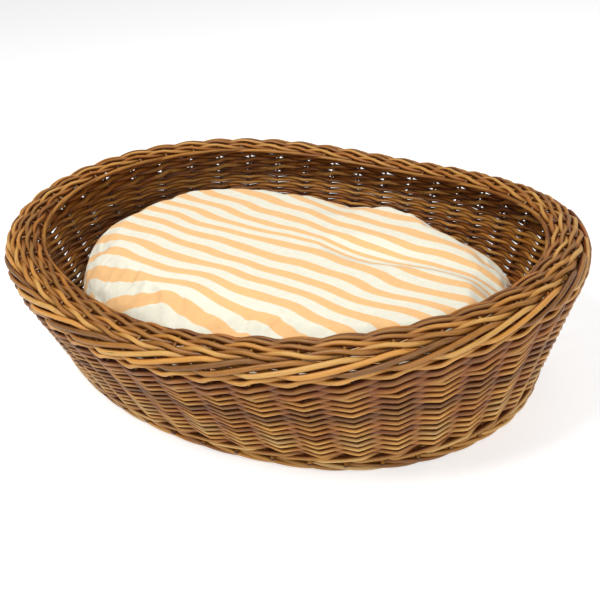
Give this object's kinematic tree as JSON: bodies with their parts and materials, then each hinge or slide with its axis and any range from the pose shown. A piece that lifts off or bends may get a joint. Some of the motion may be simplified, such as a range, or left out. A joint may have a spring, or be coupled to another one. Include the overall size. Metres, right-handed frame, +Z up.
{
  "type": "pet bed basket",
  "caption": "Oval wicker pet bed: flared woven willow wall with a wide rolled-in rim and a woven base, holding a thick loose cushion in a striped cotton cover.",
  "frame": {"origin": "centre of the bounding box's underside, on the surface the basket stands on", "axes": "+X along the basket's length, +Y across it, +Z up"},
  "size_m": [0.8564, 0.714, 0.2226],
  "materials": {
    "willow_siding": "satin",
    "willow_rim": "satin",
    "willow_foot": "satin",
    "willow_stake": "satin",
    "willow_base": "satin",
    "striped_cotton": "matte",
    "pad_filling": "matte"
  },
  "bodies": {
    "basket": {"base_weave": "willow_base", "base_cross_sticks": "willow_base", "base_long_sticks": "willow_base", "base_edge_rod": "willow_base", "foot_border_outer": "willow_foot", "foot_border_inner": "willow_foot", "foot_wale_rod_1": "willow_foot", "foot_wale_rod_2": "willow_foot", "foot_wale_rod_3": "willow_foot", "upsett_rod": "willow_foot", "side_stakes": "willow_stake", "rim_stakes": "willow_stake", "siding_row_01": "willow_siding", "siding_row_02": "willow_siding", "siding_row_03": "willow_siding", "siding_row_04": "willow_siding", "siding_row_05": "willow_siding", "siding_row_06": "willow_siding", "siding_row_07": "willow_siding", "siding_row_08": "willow_siding", "siding_row_09": "willow_siding", "siding_row_10": "willow_siding", "siding_row_11": "willow_siding", "siding_row_12": "willow_siding", "siding_row_13": "willow_siding", "siding_row_14": "willow_siding", "siding_row_15": "willow_siding", "siding_row_16": "willow_siding", "siding_row_17": "willow_siding", "siding_row_18": "willow_siding", "siding_row_19": "willow_siding", "siding_row_20": "willow_siding", "siding_row_21": "willow_siding", "siding_row_22": "willow_siding", "siding_row_23": "willow_siding", "siding_row_24": "willow_siding", "spaced_row_1": "willow_rim", "spaced_row_2": "willow_rim", "spaced_row_3": "willow_rim", "shoulder_wale_rod_1": "willow_rim", "shoulder_wale_rod_2": "willow_rim", "shoulder_wale_rod_3": "willow_rim", "rim_row_1": "willow_rim", "rim_row_2": "willow_rim", "rim_row_3": "willow_rim", "rim_row_4": "willow_rim", "lip_border_rod_1": "willow_rim", "lip_border_rod_2": "willow_rim", "lip_border_rod_3": "willow_rim"},
    "cushion": {"cushion_filling": "pad_filling", "cushion_cover_top": "striped_cotton", "cushion_cover_bottom": "striped_cotton", "cushion_side_band": "striped_cotton"}
  },
  "joints": [
    {"name": "cushion_lift", "type": "slide", "parent": "basket", "child": "cushion", "axis": [0, 0, 1], "range_m": [0, 0.25]}
  ]
}
